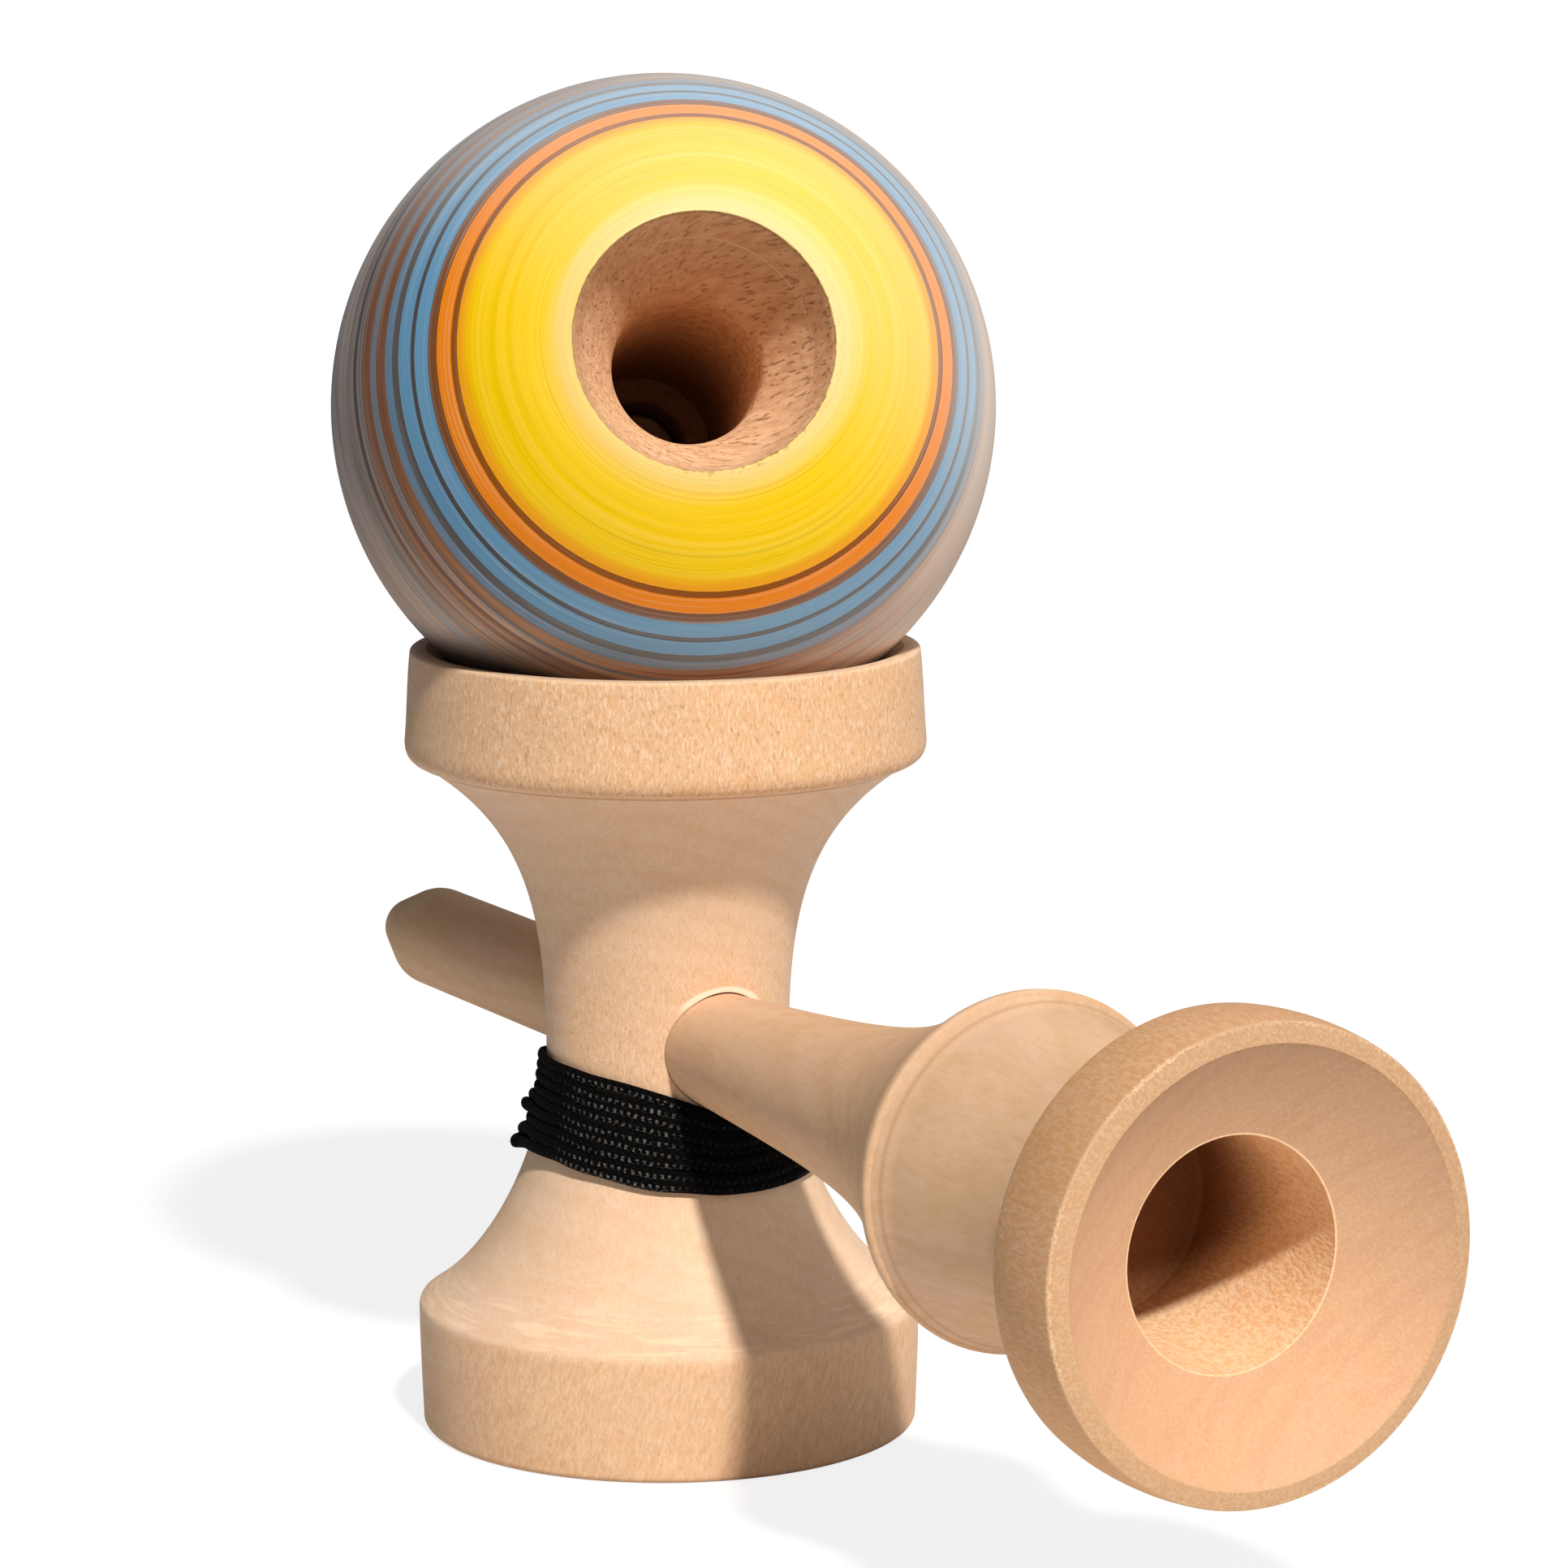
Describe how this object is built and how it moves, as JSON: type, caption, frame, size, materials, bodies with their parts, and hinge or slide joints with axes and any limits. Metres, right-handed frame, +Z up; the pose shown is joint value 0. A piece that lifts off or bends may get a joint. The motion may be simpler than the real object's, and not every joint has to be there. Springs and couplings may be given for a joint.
{
  "type": "kendama",
  "caption": "Wooden kendama: a turned cross piece with a cup at each end, a spiked handle with a base cup wedged through its neck, and a striped ball on a wound string, lying in the big cup.",
  "frame": {"origin": "on the floor that the small cup stands on, under the middle of the handle's whole length; the cross piece's axis is 21.75 mm towards -X", "axes": "+X along the handle, from the spike to the base cup; +Z up the cross piece, from the small cup to the big cup; the string comes out of the neck on the +Y side"},
  "size_m": [0.1606, 0.06, 0.1241],
  "materials": {
    "maple": "sanded bare maple, matt",
    "painted_ball": "yellow gloss paint with turned stripes in orange, brown and blue",
    "bead_wood": "smooth turned beech",
    "string": "black braid"
  },
  "bodies": {
    "sarado": {"sarado": "maple", "string_winding": "string", "string_lead": "string", "string_tail": "string"},
    "ken": {"ken": "maple", "string_end_knot": "string"},
    "bead": {"string_bead": "bead_wood", "string_stop_knot": "string"},
    "tama": {"tama": "painted_ball"}
  },
  "joints": [
    {"name": "ken_pull", "type": "slide", "parent": "sarado", "child": "ken", "axis": [1, 0, 0], "range_m": [0, 0.072]},
    {"name": "tama_lift", "type": "slide", "parent": "sarado", "child": "bead", "axis": [0, 0, 1], "range_m": [0, 0.04], "deforming": ["string_tail"]},
    {"name": "tama_spin", "type": "hinge", "parent": "bead", "child": "tama", "pos_m": [-0.02175, 0, 0.09406], "axis": [0.9018, -0.3105, 0.3007], "continuous": true}
  ]
}
